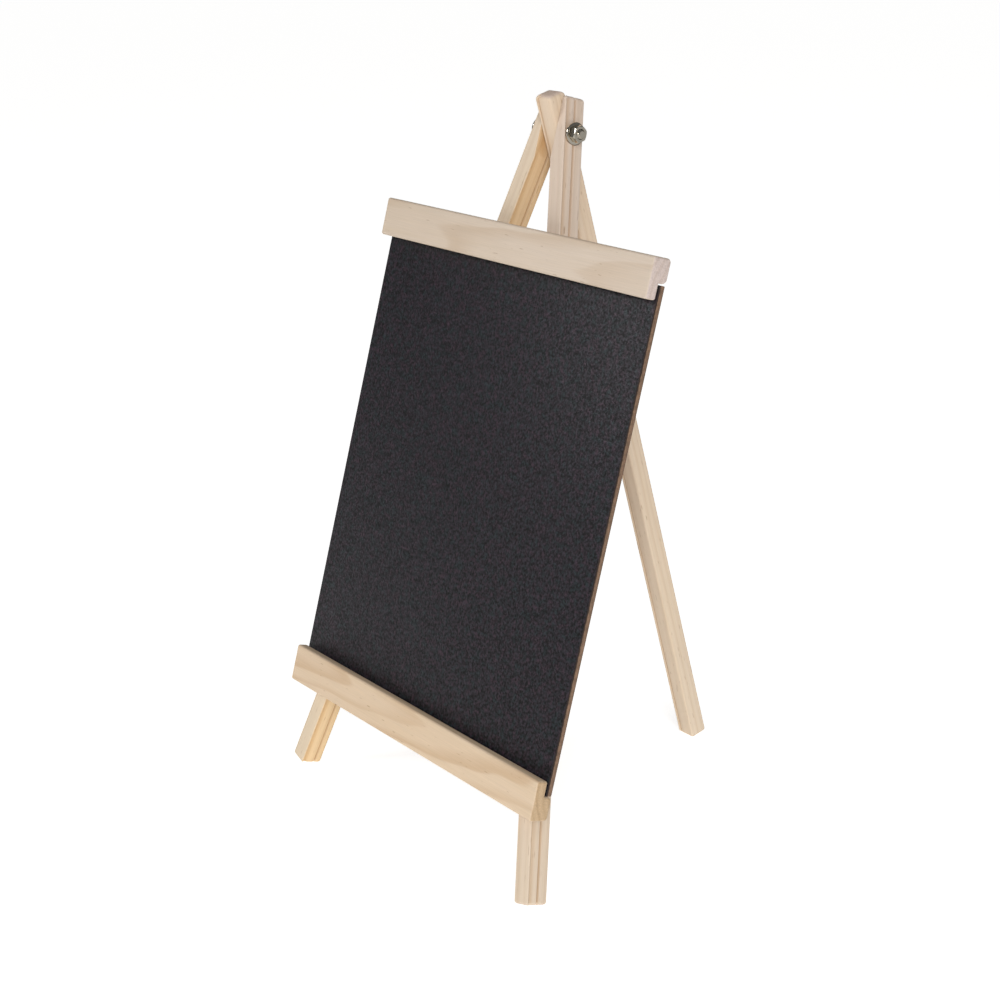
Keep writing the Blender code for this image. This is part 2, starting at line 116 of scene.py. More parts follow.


# each piece's colour runs from its lower or left end to its upper or right end: partly the wood's own
# tone, partly painted shade, greyer and darker on the upper pieces and ends, where the light falls off;
# a painted side shade, the shadow and warm bounce between the legs, is laid on the face that looks
# along the stick's own x
def sandedPine(name, place, pith, drift, castAndShade, length, depth=0.55, shift=0.0, paintedSideShade=None, ends=None):
    material, tree, shader = newMaterial(name)
    coords = addNode(tree, "TexCoord")
    stick = addNode(tree, "Mapping", {
        "Vector": coords.outputs["Object"], "Location": place.to_translation(),
        "Rotation": place.to_euler(), "Scale": (mm, mm, mm)}, vector_type="TEXTURE")
    moved = addNode(tree, "VectorMath", {
        0: stick.outputs[0], 1: (shift, shift * 0.7, shift * 3)}, operation="ADD")

    # rings, bent by a slow noise and drifting off the stick's axis
    slow = addNode(tree, "VectorMath", {0: moved.outputs[0], 1: (0.045, 0.045, 0.009)}, operation="MULTIPLY")
    wander = addNode(tree, "TexNoise", {"Vector": slow.outputs[0], "Scale": 1.0, "Detail": 2.0})
    centred = addNode(tree, "VectorMath", {
        0: wander.outputs["Color"], 1: (0.5, 0.5, 0.5)}, operation="SUBTRACT")
    bend = addNode(tree, "VectorMath", {
        0: centred.outputs[0], 1: [pine["wanderMm"] * 2] * 3, 2: stick.outputs[0]}, operation="MULTIPLY_ADD")
    split = addNode(tree, "SeparateXYZ", {0: bend.outputs[0]})
    driftX = addNode(tree, "Math", {
        0: split.outputs[2], 1: drift[0], 2: -pith[0]}, operation="MULTIPLY_ADD")
    driftY = addNode(tree, "Math", {
        0: split.outputs[2], 1: drift[1], 2: -pith[1]}, operation="MULTIPLY_ADD")
    fromPithX = addNode(tree, "Math", {0: split.outputs[0], 1: driftX.outputs[0]}, operation="ADD")
    fromPithY = addNode(tree, "Math", {0: split.outputs[1], 1: driftY.outputs[0]}, operation="ADD")
    radial = addNode(tree, "CombineXYZ", {0: fromPithX.outputs[0], 1: fromPithY.outputs[0]})
    radius = addNode(tree, "VectorMath", {0: radial.outputs[0]}, operation="LENGTH")
    years = addNode(tree, "Math", {0: radius.outputs["Value"], 1: pine["ringMm"]}, operation="DIVIDE")
    season = addNode(tree, "Math", {0: years.outputs[0]}, operation="FRACT")
    year = addNode(tree, "Math", {0: years.outputs[0]}, operation="FLOOR")
    harsh = addNode(tree, "TexWhiteNoise", {"W": year.outputs[0]}, noise_dimensions="1D")
    latewood = addNode(tree, "ValToRGB", {0: season.outputs[0]}, stops=[
        (0.0, 0.12), (0.45, 0.1), (0.84, 1.0), (0.93, 0.85), (1.0, 0.12)])
    strength = addNode(tree, "MapRange", {0: harsh.outputs["Value"], 3: 0.35 * depth, 4: depth})
    rings = addNode(tree, "Math", {0: latewood.outputs[0], 1: strength.outputs[0]}, operation="MULTIPLY")

    # fibres, drawn about 0.4 mm across because real ones are too fine to show, and resin flecks about
    # 6 mm long
    thin = addNode(tree, "VectorMath", {0: moved.outputs[0], 1: (2.4, 2.4, 0.05)}, operation="MULTIPLY")
    fibres = addNode(tree, "TexNoise", {
        "Vector": thin.outputs[0], "Scale": 1.0, "Detail": 3.0, "Roughness": 0.6})
    wide = addNode(tree, "VectorMath", {0: moved.outputs[0], 1: (0.35, 0.35, 0.012)}, operation="MULTIPLY")
    clouds = addNode(tree, "TexNoise", {"Vector": wide.outputs[0], "Scale": 1.0, "Detail": 2.0})
    short = addNode(tree, "VectorMath", {0: moved.outputs[0], 1: (1.3, 1.3, 0.16)}, operation="MULTIPLY")
    pores = addNode(tree, "TexNoise", {"Vector": short.outputs[0], "Scale": 1.0, "Detail": 1.0})
    flecks = addNode(tree, "MapRange", {0: pores.outputs["Fac"], 1: 0.71, 2: 0.78, 4: 0.55})

    early = addNode(tree, "MixRGB", {
        0: clouds.outputs["Fac"], 1: srgb(pine["early"]), 2: srgb(pine["earlyWarm"])})
    ringed = addNode(tree, "MixRGB", {0: rings.outputs[0], 1: early.outputs[0], 2: srgb(pine["late"])})
    flecked = addNode(tree, "MixRGB", {0: flecks.outputs[0], 1: ringed.outputs[0], 2: srgb(pine["fleck"])})
    # painted shade along the stick: the colour changes from end to end, darker and greyer upwards where the
    # light falls off
    along = addNode(tree, "SeparateXYZ", {0: stick.outputs[0]})
    lengthwise = addNode(tree, "MapRange", {0: along.outputs[2], 1: 0.0, 2: length})
    castWithShade = addNode(tree, "MixRGB", {0: lengthwise.outputs[0], 1: srgb(castAndShade[0]), 2: srgb(castAndShade[1])})
    grained = addNode(tree, "MapRange", {0: fibres.outputs["Fac"], 1: 0.25, 2: 0.75, 3: 0.93, 4: 1.05})
    # painted shade: the moulding's grooves are darkened by their depth, standing for the shadow that falls in
    # them
    moulding = addNode(tree, "Attribute", attribute_name="mouldingDepth")
    shadedGrooves = addNode(tree, "MixRGB", {
        0: moulding.outputs["Fac"], 1: flecked.outputs[0], 2: srgb(pine["cutter"])}, blend_type="MULTIPLY")
    face = addNode(tree, "VectorMath", {0: shadedGrooves.outputs[0], 3: grained.outputs[0]}, operation="SCALE")

    # end grain: where the surface looks along the stick
    grainAxis = place.to_3x3() @ Vector((0, 0, 1))
    facing = addNode(tree, "VectorMath", {0: coords.outputs["Normal"], 1: grainAxis}, operation="DOT_PRODUCT")
    square = addNode(tree, "Math", {0: facing.outputs["Value"]}, operation="ABSOLUTE")
    endGrain = addNode(tree, "MapRange", {0: square.outputs[0], 1: 0.55, 2: 0.85})
    grit = addNode(tree, "TexNoise", {
        "Vector": moved.outputs[0], "Scale": 1.6, "Detail": 4.0, "Roughness": 0.7})
    gritty = addNode(tree, "MapRange", {0: grit.outputs["Fac"], 1: 0.3, 2: 0.7, 3: 0.78, 4: 1.1})
    endEarly, endLate = ends or pine["ends"]
    sawnEnd = addNode(tree, "MixRGB", {0: rings.outputs[0], 1: srgb(endEarly), 2: srgb(endLate)})
    endShade = addNode(tree, "VectorMath", {0: sawnEnd.outputs[0], 3: gritty.outputs[0]}, operation="SCALE")
    bare = addNode(tree, "MixRGB", {0: endGrain.outputs[0], 1: face.outputs[0], 2: endShade.outputs[0]})
    shade = addNode(tree, "VectorMath", {0: bare.outputs[0], 1: castWithShade.outputs[0]}, operation="MULTIPLY")
    # painted shade: the face looking along the stick's x is darkened and warmed, standing for the shadow and
    # warm bounce light between the legs
    if paintedSideShade:
        sideAxis = place.to_3x3() @ Vector((1, 0, 0))
        sideways = addNode(tree, "VectorMath", {
            0: coords.outputs["Normal"], 1: sideAxis}, operation="DOT_PRODUCT")
        onSide = addNode(tree, "MapRange", {0: sideways.outputs["Value"], 1: 0.3, 2: 0.8})
        shade = addNode(tree, "MixRGB", {
            0: onSide.outputs[0], 1: shade.outputs[0], 2: srgb(paintedSideShade)}, blend_type="MULTIPLY")

    dull = addNode(tree, "MapRange", {
        0: fibres.outputs["Fac"], 1: 0.2, 2: 0.8, 3: pine["roughness"] - 0.06, 4: pine["roughness"] + 0.1})
    relief = addNode(tree, "MixRGB", {
        0: endGrain.outputs[0], 1: fibres.outputs["Fac"], 2: grit.outputs["Fac"]})
    sunk = addNode(tree, "Math", {
        0: rings.outputs[0], 1: -0.25, 2: relief.outputs[0]}, operation="MULTIPLY_ADD")
    bump = addNode(tree, "Bump", {"Height": sunk.outputs[0], "Strength": 0.35, "Distance": 0.06 * mm})
    tree.links.new(shade.outputs[0], shader.inputs["Base Color"])
    tree.links.new(dull.outputs[0], shader.inputs["Roughness"])
    tree.links.new(bump.outputs[0], shader.inputs["Normal"])
    shader.inputs["IOR"].default_value = pine["ior"]
    return material


# chalkboard paint, rolled on hardboard: matt near-black with a faint violet cast, pebbled so that
# it takes chalk, which gives soft speckled light at low angles. The pebbles are drawn two or three
# times coarser than a roller leaves them, so that they show, and their crests are painted lighter, a
# painted sparkle.
paint = {
    "base": "050506", "sparkleGrey": "332E36", "warmBit": "3C2E38", "coolBit": "2A3236",
    "roughness": 0.44, "specular": 0.28, "pebbleMm": 1.2, "ior": 1.5,
}


def chalkboardPaint():
    material, tree, shader = newMaterial("rolledChalkboardPaint")
    coords = addNode(tree, "TexCoord")
    pebbles = addNode(tree, "TexNoise", {
        "Vector": coords.outputs["Object"], "Scale": 1 / (paint["pebbleMm"] * mm),
        "Detail": 2.5, "Roughness": 0.6})
    # painted highlight: the pebbles' crests are lightened in colour, a painted sparkle in casts that vary at
    # random
    paintedSparkle = addNode(tree, "MapRange", {0: pebbles.outputs["Fac"], 1: 0.36, 2: 0.68})
    casts = addNode(tree, "TexNoise", {
        "Vector": coords.outputs["Object"], "Scale": 1 / (2.2 * paint["pebbleMm"] * mm), "Detail": 1.0})
    cast = addNode(tree, "ValToRGB", {0: casts.outputs["Fac"]}, stops=[
        (0.36, srgb(paint["coolBit"])), (0.46, srgb(paint["sparkleGrey"])),
        (0.54, srgb(paint["sparkleGrey"])), (0.64, srgb(paint["warmBit"]))])
    shade = addNode(tree, "MixRGB", {0: paintedSparkle.outputs[0], 1: srgb(paint["base"]), 2: cast.outputs[0]})
    dull = addNode(tree, "MapRange", {
        0: pebbles.outputs["Fac"], 1: 0.3, 2: 0.7, 3: paint["roughness"] + 0.1, 4: paint["roughness"] - 0.08})
    bump = addNode(tree, "Bump", {"Height": pebbles.outputs["Fac"], "Strength": 1.0, "Distance": 0.24 * mm})
    tree.links.new(shade.outputs[0], shader.inputs["Base Color"])
    tree.links.new(dull.outputs[0], shader.inputs["Roughness"])
    tree.links.new(bump.outputs[0], shader.inputs["Normal"])
    shader.inputs["IOR"].default_value = paint["ior"]
    shader.inputs["Specular IOR Level"].default_value = paint["specular"]
    return material


# wet-pressed hardboard: brown fibre felt, sawn fuzzy at its edges, and printed at the back by the
# wire screen that it was pressed on, a mesh of about 1.2 mm
hardboard = {
    "edge": "8A6C55", "edgeDark": "66503F", "overspray": "2A1C17",
    "backLine": "4A3428", "back": "7A5B40",
    "screenMm": 1.2, "roughness": 0.75, "ior": 1.5,
}


def pressedHardboard():
    material, tree, shader = newMaterial("pressedHardboard")
    coords = addNode(tree, "TexCoord")
    local = addNode(tree, "Mapping", {
        "Vector": coords.outputs["Object"], "Location": frontPlace.to_translation(),
        "Rotation": frontPlace.to_euler(), "Scale": (mm, mm, mm)}, vector_type="TEXTURE")
    felt = addNode(tree, "TexNoise", {
        "Vector": local.outputs[0], "Scale": 0.9, "Detail": 5.0, "Roughness": 0.65})
    layers = addNode(tree, "VectorMath", {0: local.outputs[0], 1: (0.25, 2.2, 0.25)}, operation="MULTIPLY")
    streaks = addNode(tree, "TexNoise", {"Vector": layers.outputs[0], "Scale": 1.0, "Detail": 3.0})
    mixed = addNode(tree, "Math", {0: felt.outputs["Fac"], 1: streaks.outputs["Fac"]}, operation="ADD")
    amount = addNode(tree, "MapRange", {0: mixed.outputs[0], 1: 0.8, 2: 1.2})
    edge = addNode(tree, "MixRGB", {
        0: amount.outputs[0], 1: srgb(hardboard["edgeDark"]), 2: srgb(hardboard["edge"])})

    # paint carried over the front of the sawn edge, and a denser skin at the back of it
    split = addNode(tree, "SeparateXYZ", {0: local.outputs[0]})
    ragged = addNode(tree, "Math", {
        0: felt.outputs["Fac"], 1: 0.8, 2: split.outputs[1]}, operation="MULTIPLY_ADD")
    sprayed = addNode(tree, "MapRange", {0: ragged.outputs[0], 1: -2.2, 2: -2.6})
    skinned = addNode(tree, "MapRange", {0: ragged.outputs[0], 1: -0.75, 2: -0.4, 4: 0.8})
    skin = addNode(tree, "MixRGB", {
        0: skinned.outputs[0], 1: edge.outputs[0], 2: srgb(hardboard["backLine"])})
    edgeShade = addNode(tree, "MixRGB", {
        0: sprayed.outputs[0], 1: skin.outputs[0], 2: srgb(hardboard["overspray"])})

    # the screen's print: two sets of soft ridges crossing on the back
    turns = 2 * pi / hardboard["screenMm"]
    across = addNode(tree, "Math", {0: split.outputs[0], 1: turns}, operation="MULTIPLY")
    upward = addNode(tree, "Math", {0: split.outputs[2], 1: turns}, operation="MULTIPLY")
    ridgeX = addNode(tree, "Math", {0: across.outputs[0]}, operation="SINE")
    ridgeZ = addNode(tree, "Math", {0: upward.outputs[0]}, operation="SINE")
    screen = addNode(tree, "Math", {0: ridgeX.outputs[0], 1: ridgeZ.outputs[0]}, operation="MAXIMUM")
    backAxis = frontPlace.to_3x3() @ Vector((0, 1, 0))
    facing = addNode(tree, "VectorMath", {0: coords.outputs["Normal"], 1: backAxis}, operation="DOT_PRODUCT")
    onBack = addNode(tree, "MapRange", {0: facing.outputs["Value"], 1: 0.5, 2: 0.8})
    printed = addNode(tree, "MapRange", {0: screen.outputs[0], 1: -1.0, 2: 1.0, 3: 0.82, 4: 1.08})
    backShade = addNode(tree, "VectorMath", {
        0: srgb(hardboard["back"])[:3], 3: printed.outputs[0]}, operation="SCALE")
    shade = addNode(tree, "MixRGB", {0: onBack.outputs[0], 1: edgeShade.outputs[0], 2: backShade.outputs[0]})
    height = addNode(tree, "MixRGB", {0: onBack.outputs[0], 1: felt.outputs["Fac"], 2: screen.outputs[0]})
    bump = addNode(tree, "Bump", {"Height": height.outputs[0], "Strength": 0.5, "Distance": 0.1 * mm})
    tree.links.new(shade.outputs[0], shader.inputs["Base Color"])
    tree.links.new(bump.outputs[0], shader.inputs["Normal"])
    shader.inputs["Roughness"].default_value = hardboard["roughness"]
    shader.inputs["IOR"].default_value = hardboard["ior"]
    return material


# plated steel: nickel is bright and slightly warm, zinc is bluer and duller. Tumbling in the plating
# barrel leaves faint marks, mostly in the gloss, drawn coarser than real ones so that they show.
plating = {
    "brightNickelPlate": {"bright": "EAE4D6", "dull": "D2CABA", "roughness": 0.06, "markMm": 0.5},
    "clearZincPlate": {"bright": "C9CCCF", "dull": "A9ADB1", "roughness": 0.28, "markMm": 0.35},
}


def platedSteel(name):
    plate = plating[name]
    roughness = plate["roughness"]
    material, tree, shader = newMaterial(name)
    coords = addNode(tree, "TexCoord")
    marks = addNode(tree, "TexNoise", {
        "Vector": coords.outputs["Object"], "Scale": 1 / (plate["markMm"] * mm),
        "Detail": 4.0, "Roughness": 0.7})
    gloss = addNode(tree, "MapRange", {
        0: marks.outputs["Fac"], 1: 0.3, 2: 0.75, 3: roughness * 0.6, 4: roughness * 1.7})
    shade = addNode(tree, "MixRGB", {
        0: marks.outputs["Fac"], 1: srgb(plate["bright"]), 2: srgb(plate["dull"])})
    bump = addNode(tree, "Bump", {"Height": marks.outputs["Fac"], "Strength": 0.2, "Distance": 0.01 * mm})
    tree.links.new(shade.outputs[0], shader.inputs["Base Color"])
    tree.links.new(gloss.outputs[0], shader.inputs["Roughness"])
    tree.links.new(bump.outputs[0], shader.inputs["Normal"])
    shader.inputs["Metallic"].default_value = 1.0
    return material


nickelPlate = platedSteel("brightNickelPlate")
zincPlate = platedSteel("clearZincPlate")
boardPaint = chalkboardPaint()
boardCore = pressedHardboard()
print("materials made")


# a cross-section from its corners, each (x, y, rounding in mm), as one flat face
def crossSection(corners, arcSteps=5):
    bm = bmesh.new()
    verts = [bm.verts.new((x * mm, y * mm, 0)) for x, y, _ in corners]
    bm.faces.new(verts)
    for size in sorted({corner[2] for corner in corners if corner[2] > 0}):
        chosen = [vert for vert, corner in zip(verts, corners) if corner[2] == size]
        bmesh.ops.bevel(bm, geom=chosen, offset=size * mm, offset_type="OFFSET", affect="VERTICES",
                        segments=arcSteps, profile=0.5, material=-1)
    return bm


# a length of that section up z, with the rims of its sawn ends eased
def easedStick(corners, length, endEase):
    bm = crossSection(corners)
    grown = bmesh.ops.extrude_face_region(bm, geom=bm.faces[:])
    top = [item for item in grown["geom"] if isinstance(item, bmesh.types.BMVert)]
    bmesh.ops.translate(bm, verts=top, vec=(0, 0, length * mm))
    rims = [edge for edge in bm.edges if edge.verts[0].co.z == edge.verts[1].co.z]
    bmesh.ops.bevel(bm, geom=rims, offset=endEase * mm, offset_type="OFFSET", affect="EDGES",
                    segments=4, profile=0.5, material=-1, clamp_overlap=True)
    return bm


# the same with tumbled ends: the section shrinks along a quarter circle at each end
def roundedStick(corners, length, footRound, topRound, steps=6):
    bm = crossSection(corners)
    bm.faces.ensure_lookup_table()
    low = Vector([min(vert.co[axis] for vert in bm.verts) for axis in (0, 1)])
    high = Vector([max(vert.co[axis] for vert in bm.verts) for axis in (0, 1)])
    middle, half = (low + high) / 2, (high - low) / 2
    arc = [(1 - cos(i * pi / 2 / steps), 1 - sin(i * pi / 2 / steps)) for i in range(steps + 1)]
    levels = [(footRound * up, footRound * inset) for up, inset in arc]
    levels += [(length - topRound * up, topRound * inset) for up, inset in reversed(arc)]
    ring, cap, before = bm.verts[:], bm.faces[0], 0.0
    for count, (up, inset) in enumerate(levels):
        if count > 0:
            grown = bmesh.ops.extrude_face_region(bm, geom=[cap])
            ring = [item for item in grown["geom"] if isinstance(item, bmesh.types.BMVert)]
            if count > 1:
                bmesh.ops.delete(bm, geom=[cap], context="FACES_ONLY")
            cap = [item for item in grown["geom"] if isinstance(item, bmesh.types.BMFace)][0]
        for vert in ring:
            for axis in (0, 1):
                shrink = (half[axis] - inset * mm) / (half[axis] - before * mm)
                vert.co[axis] = middle[axis] + (vert.co[axis] - middle[axis]) * shrink
            vert.co.z = up * mm
        before = inset
    return bm


# a solid turned about x from (x, radius) points, in mm; a ring's outline is closed on itself
def turned(points, steps=64, ring=False):
    bm = bmesh.new()
    verts = [bm.verts.new((x * mm, radius * mm, 0)) for x, radius in points]
    pairs = list(zip(verts, verts[1:] + verts[:1])) if ring else list(zip(verts, verts[1:]))
    edges = [bm.edges.new(pair) for pair in pairs]
    bmesh.ops.spin(bm, geom=verts + edges, axis=(1, 0, 0), cent=(0, 0, 0), angle=2 * pi,
                   steps=steps, use_merge=True)
    bmesh.ops.remove_doubles(bm, verts=bm.verts, dist=0.0001 * mm)
    bmesh.ops.recalc_face_normals(bm, faces=bm.faces)
    return bm


def meshObject(name, bm):
    bmesh.ops.recalc_face_normals(bm, faces=bm.faces)
    mesh = bpy.data.meshes.new(name)
    bm.to_mesh(mesh)
    bm.free()
    made = bpy.data.objects.new(name, mesh)
    bpy.context.scene.collection.objects.link(made)
    return made


# cuts, joins or trims a piece with another shape, and leaves only the finished mesh
def shapeWith(piece, tools, operation="DIFFERENCE"):
    helpers = [meshObject(f"{piece.name}Tool{i}", bm) for i, bm in enumerate(tools)]
    for helper in helpers:
        boolean = piece.modifiers.new("shape", "BOOLEAN")
        boolean.operation = operation
        boolean.solver = "EXACT"
        boolean.object = helper
    bpy.context.view_layer.update()
    done = bpy.data.meshes.new_from_object(piece.evaluated_get(bpy.context.evaluated_depsgraph_get()))
    piece.modifiers.clear()
    piece.data = done
    for helper in helpers:
        bpy.data.objects.remove(helper, do_unlink=True)


def finishPiece(piece, place, materials, body, nodes, smoothAngle=32):
    piece.data.transform(place)
    piece.data.materials.clear()
    for material in materials:
        piece.data.materials.append(material)
    piece.data.shade_smooth()
    piece.data.set_sharp_from_angle(angle=radians(smoothAngle))
    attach(piece, body)
    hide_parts(*nodes)
    return piece


# legs: moulded 9 x 11 mm stock with a cove and a V groove down each wide side
leg = {
    "width": 9.0, "depth": 11.0,
    "corner": 0.9, "coveCorner": 0.3,  # rounding of the stock's corners, plain and beside a cove
    "cove": (0.5, 1.15, 3.2, 0.8),  # where the cove starts, is deepest and ends, and its depth
    "groove": (0.72, 1.25),  # half width and depth of the V groove
    "grooveLip": 0.25, "grooveFloor": 0.12,  # rounding of its lips and of its bottom
    "outerGroove": 5.7, "innerGroove": 7.4, "rearGroove": 2.0,  # how far back, or in, each groove lies
    "footRound": 1.3, "topRound": 1.6, "rearTopRound": 2.2,
    "taperFace": 5.8,    # half the rear leg and a little play
    "rearAbove": 17.8,   # rear leg above the bolt
    "ringDepth": 0.34,   # how strongly the growth lines show
}


def grooved(x, centre, inward, up):
    half, depth = leg["groove"]
    lip, floor = leg["grooveLip"], leg["grooveFloor"]
    points = [(x, centre - half, lip), (x + inward * depth, centre, floor), (x, centre + half, lip)]
    return points if up else points[::-1]


def coved(x, inward, up):
    start, deepest, end, depth = leg["cove"]
    points = [(x, start, 0.1), (x + inward * depth, deepest, 0.5), (x, end, 0.5)]
    return points if up else points[::-1]


def frontLegCorners(side):
    half, depth, corner = leg["width"] / 2, leg["depth"], leg["corner"]
    right = leg["outerGroove"] if side > 0 else leg["innerGroove"]
    left = leg["innerGroove"] if side > 0 else leg["outerGroove"]
    return [(-half, 0, leg["coveCorner"]), (half, 0, leg["coveCorner"]),
            *coved(half, -1, True), *grooved(half, right, -1, True),
            (half, depth, corner), (-half, depth, corner),
            *grooved(-half, left, 1, False), *coved(-half, 1, False)]


def rearLegCorners():
    half, deep, corner = leg["depth"] / 2, leg["width"] / 2, leg["corner"]
    groove = leg["rearGroove"] - half
    gap, cut = leg["groove"]
    lip, floor = leg["grooveLip"], leg["grooveFloor"]
    return [(-half, -deep, corner), (groove - gap, -deep, lip), (groove, -deep + cut, floor),
            (groove + gap, -deep, lip), (half, -deep, corner), (half, deep, corner), (-half, deep, corner)]


# hardware, here because the legs and rails are drilled for it; radii are in mm like the rest
bolt = {
    "radius": 2.0, "hole": 2.3, "pitch": 0.7,
    "pastNut": 1.2,      # bolt showing past the nut
    "threadBehind": 6.0,  # thread running in behind the nut
    "headRadius": 4.0, "headRim": 0.7, "headHeight": 2.6,
    "gap": 0.3,          # play between the stacked pieces
}
washerRing = {"radius": 5.0, "bore": 2.3, "thickness": 0.8, "sink": 0.8, "ease": 0.15, "seatPlay": 0.3}
nut = {"acrossFlats": 7.0, "height": 3.2, "turn": 30.0, "chamfer": 0.5, "bore": 2.1}
screw = {
    "headRadius": 2.7, "rim": 0.3, "radius": 1.4, "length": 16.5, "point": 3.0,
    "sink": 0.3, "holePlay": 0.3,
}
rail = {
    "length": 200.0, "height": 18.0, "thickness": 10.0, "corner": 1.1, "backCorner": 1.8,
    "legPlay": 0.3,                           # between a rail's back and the legs
    "slotThickness": 4.5, "slotDepth": 7.2, "endEase": 1.1,
    "shoulder": 2.2,                          # rounding of the back edge beside the slot
    "ledgeBottom": 40.1, "topBottom": 266.4,  # each rail's lower edge, up the slope
}
solidHeight = rail["height"] - rail["slotDepth"]
topScrewUp = rail["topBottom"] + rail["slotDepth"] + solidHeight / 2
ledgeScrewUp = rail["ledgeBottom"] + solidHeight / 2


def legCentreX(up):
    return easel["footX"] - (easel["footX"] - easel["topX"]) * up / easel["frameLength"]


# the washers' inner faces: square to the bolt, sunk a little where they meet the sloping legs
legOuterX = legCentreX(easel["pivotUp"] - washerRing["radius"]) + leg["width"] / 2 / cos(splay)
seatX = legOuterX - washerRing["sink"]


def screwPlace(side, up):
    turn = Matrix.Rotation(-pi / 2, 4, "Z")
    head = Vector((side * legCentreX(up), leg["depth"] - screw["sink"], up)) * mm
    return frontPlace @ Matrix.Translation(head) @ turn


# a screw's outline, or its hole's when it is grown by the play around it
def screwPoints(grow):
    cone = screw["headRadius"] - screw["radius"]
    head = -2.0 if grow else 0.0
    return [(head, 0), (head, screw["headRadius"] + grow), (screw["rim"], screw["headRadius"] + grow),
            (screw["rim"] + cone, screw["radius"] + grow),
            (screw["length"] - screw["point"], screw["radius"] + grow), (screw["length"] + grow, 0)]


def movedCopy(points, place, steps=48):
    bm = turned(points, steps)
    bmesh.ops.transform(bm, matrix=place, verts=bm.verts)
    return bm


def screwHoles(sides, heights):
    outline = screwPoints(screw["holePlay"])
    return [movedCopy(outline, screwPlace(side, up)) for side in sides for up in heights]


# marks how deep each point lies in a moulded cut: 0 on the stock's faces, 1 at the bottom of the V
# groove; the tumbled ends are left out. The pine paints shade into the grooves by this depth
def markMoulding(piece, place, faceAxis, acrossAxis, faces, across, length):
    depths = piece.data.attributes.new("mouldingDepth", "FLOAT", "POINT")
    inverse = place.inverted()
    for vert in piece.data.vertices:
        local = inverse @ vert.co / mm
        inside = min(abs(local[faceAxis] - face) for face in faces)
        clearOfEnds = leg["footRound"] * 0.98 < local.z < length - 1.5
        onSide = across[0] < local[acrossAxis] < across[1] and clearOfEnds
        depths.data[vert.index].value = min(1.0, inside / leg["groove"][1]) if onSide else 0.0


def frontLeg(name, side, pith, drift, castAndShade, shift, paintedSideShade=None):
    length = hypot(easel["footX"] - easel["topX"], easel["frameLength"])
    foot = Matrix.Translation((side * easel["footX"] * mm, 0, 0))
    place = frontPlace @ foot @ Matrix.Rotation(-side * splay, 4, "Y")
    bm = roundedStick(frontLegCorners(side), length, leg["footRound"], leg["topRound"])
    bmesh.ops.transform(bm, matrix=frontPlace.inverted() @ place, verts=bm.verts)
    # the inner side is planed off upright where it meets the rear leg
    cut = bmesh.ops.bisect_plane(bm, geom=bm.verts[:] + bm.edges[:] + bm.faces[:], dist=0.001 * mm,
                                 plane_co=(side * leg["taperFace"] * mm, 0, 0), plane_no=(-side, 0, 0),
                                 clear_outer=True)
    rim = [item for item in cut["geom_cut"] if isinstance(item, bmesh.types.BMEdge)]
    bmesh.ops.holes_fill(bm, edges=rim, sides=0)
    bmesh.ops.transform(bm, matrix=frontPlace, verts=bm.verts)
    piece = meshObject(name, bm)
    # the bolt's hole, opening out into a flat seat for the washer
    seat, wide = seatX - washerRing["seatPlay"], washerRing["radius"] + washerRing["seatPlay"]
    drilled = [(1, 0), (1, bolt["hole"]), (seat, bolt["hole"]), (seat, wide), (seat + 9, wide), (seat + 9, 0)]
    flip = Matrix.Rotation(0 if side > 0 else pi, 4, "Z")
    shapeWith(piece, [movedCopy(drilled, pivotPlace @ flip), *screwHoles([side], (topScrewUp, ledgeScrewUp))])
    markMoulding(piece, place, 0, 1, (-leg["width"] / 2, leg["width"] / 2), (0.55, 10.0), length)
    wood = sandedPine(name + "Pine", place, pith, drift, castAndShade, length, leg["ringDepth"], shift, paintedSideShade)
    node = "left_front_leg" if side < 0 else "right_front_leg"
    return finishPiece(piece, Matrix.Identity(4), [wood], "front_frame", [node])


# height of the front feet's lowest corner, with the front frame's own foot at nought
def lowestFoot():
    lean = radians(easel["lean"])
    return -leg["width"] / 2 * sin(splay) * cos(lean) - leg["depth"] * sin(lean)


# how far the rear leg reaches below the bolt, to stand level with the front feet
def rearReach():
    lean, opening = radians(easel["lean"]), radians(easel["rearOpening"])
    height = easel["pivotUp"] * cos(lean) - easel["pivotBack"] * sin(lean)
    return (height - lowestFoot() - leg["width"] / 2 * sin(opening)) / cos(opening)


def rearLeg():
    reach = rearReach()
    whole = reach + leg["rearAbove"]
    place = rearPlace @ Matrix.Translation((0, 0, -reach * mm))
    stick = roundedStick(rearLegCorners(), whole, leg["footRound"], leg["rearTopRound"])
    piece = meshObject("rearPropLeg", stick)
    piece.data.transform(place)
    shapeWith(piece, [movedCopy([(-9, 0), (-9, bolt["hole"]), (9, bolt["hole"]), (9, 0)], pivotPlace)])
    markMoulding(piece, place, 1, 0, (-leg["width"] / 2,), (-4.5, -2.5), whole)
    wood = sandedPine("rearPropLegPine", place, (22, -38), (0.02, 0.012), ("FFFFFD", "FBF7F3"),
                      reach, leg["ringDepth"], 41.0)
    return finishPiece(piece, Matrix.Identity(4), [wood], "rear_prop", ["rear_leg"])


# the left leg's inner side gets a painted warm shade, for the shadow and bounce light between the legs
frontLeg("leftFrontLeg", -1, (-18, 34), (0.015, 0.02), ("FFFFF9", "F9F8F6"), 7.0, "FFF1D8")
frontLeg("rightFrontLeg", 1, (26, 30), (-0.012, 0.024), ("FFFFFF", "F4F3FA"), 19.0)
rearLeg()
print("legs made")


